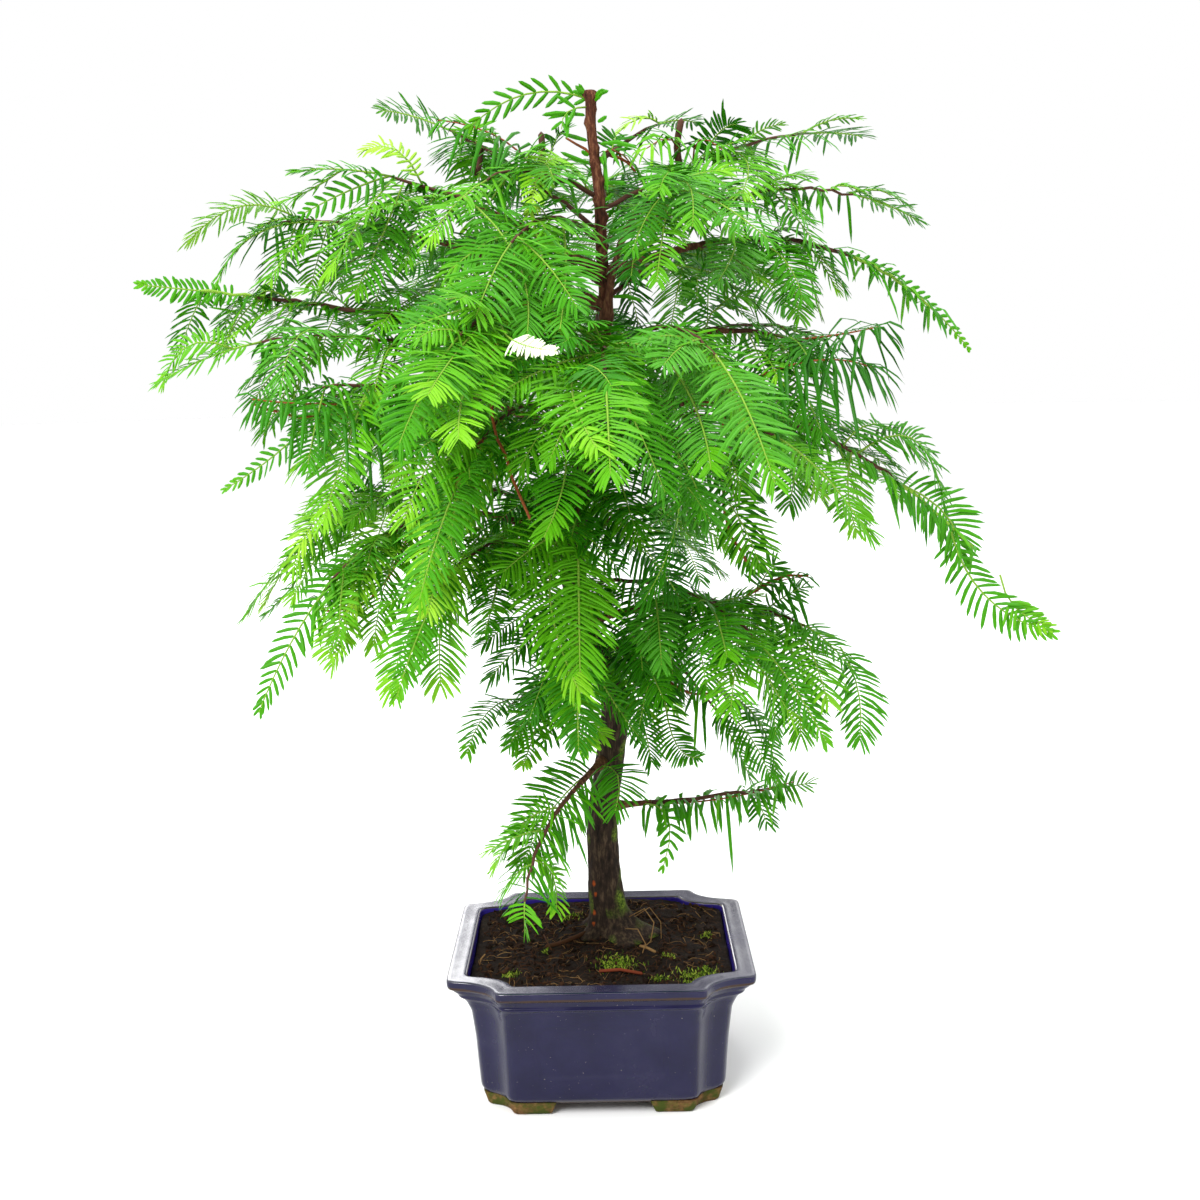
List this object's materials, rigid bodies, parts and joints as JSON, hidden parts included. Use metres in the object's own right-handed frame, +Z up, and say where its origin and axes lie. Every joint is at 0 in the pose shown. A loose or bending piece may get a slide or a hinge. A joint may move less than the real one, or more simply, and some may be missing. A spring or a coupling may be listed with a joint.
{
  "type": "dawn redwood bonsai in a glazed pot",
  "caption": "Small trained conifer with a tapering curved trunk, arching boughs and feathery sprays of flat needles, in a rectangular glazed pot with notched corners and four feet.",
  "frame": {"origin": "on the ground under the middle of the whole tree", "axes": "+Z up along the trunk, -Y is the front"},
  "size_m": [0.452, 0.396, 0.5181],
  "materials": {
    "glaze": "glossy dark indigo glaze, thin and brown along the rim's lower edge, bare clay under the feet",
    "soil": "dark fibrous peat with patches of moss",
    "old_bark": "dark brown fissured bark, redder and flaky towards the tip",
    "young_bark": "smooth red-brown bark of young shoots",
    "needles": "soft flat green needles with a satin surface"
  },
  "bodies": {
    "root": {"pot": "glaze", "soil": "soil", "trunk": "old_bark", "needles_right_crest": "needles", "needles_right_upper": "needles", "bough_right_arch": "young_bark", "needles_right_arch": "needles", "bough_right_mid": "young_bark", "needles_right_mid": "needles", "needles_right_back": "needles", "bough_right_long": "young_bark", "needles_right_long": "needles", "needles_right_front": "needles", "needles_right_low_front": "needles", "bough_right_low": "young_bark", "needles_right_low": "needles", "needles_right_under": "needles", "bough_right_lowest": "young_bark", "needles_right_lowest": "needles", "needles_left_crest": "needles", "needles_left_inner": "needles", "bough_left_high": "young_bark", "needles_left_high": "needles", "bough_left_upper": "young_bark", "needles_left_upper": "needles", "bough_left_far": "young_bark", "needles_left_far": "needles", "needles_left_mid": "needles", "bough_left_drop": "young_bark", "needles_left_drop": "needles", "needles_left_back": "needles", "needles_left_low": "needles", "bough_left_hang": "young_bark", "needles_left_hang": "needles", "needles_left_front_low": "needles", "needles_left_under": "needles", "bough_left_lowest": "young_bark", "needles_left_lowest": "needles", "needles_front_top": "needles", "needles_front_left": "needles", "needles_front_left_low": "needles", "bough_front_mid": "young_bark", "needles_front_mid": "needles", "needles_front_right": "needles", "needles_front_right_low": "needles", "needles_front_low": "needles", "needles_front_lower": "needles", "bough_second_leader": "young_bark", "needles_second_leader": "needles", "needles_back_top": "needles", "needles_back_left_high": "needles", "needles_back_right_high": "needles", "needles_back_mid": "needles", "needles_back_left": "needles", "needles_back_right": "needles", "needles_back_low": "needles", "needles_back_low_right": "needles", "needles_back_under": "needles", "needles_crest_right": "needles", "needles_crest_left": "needles"}
  },
  "joints": []
}
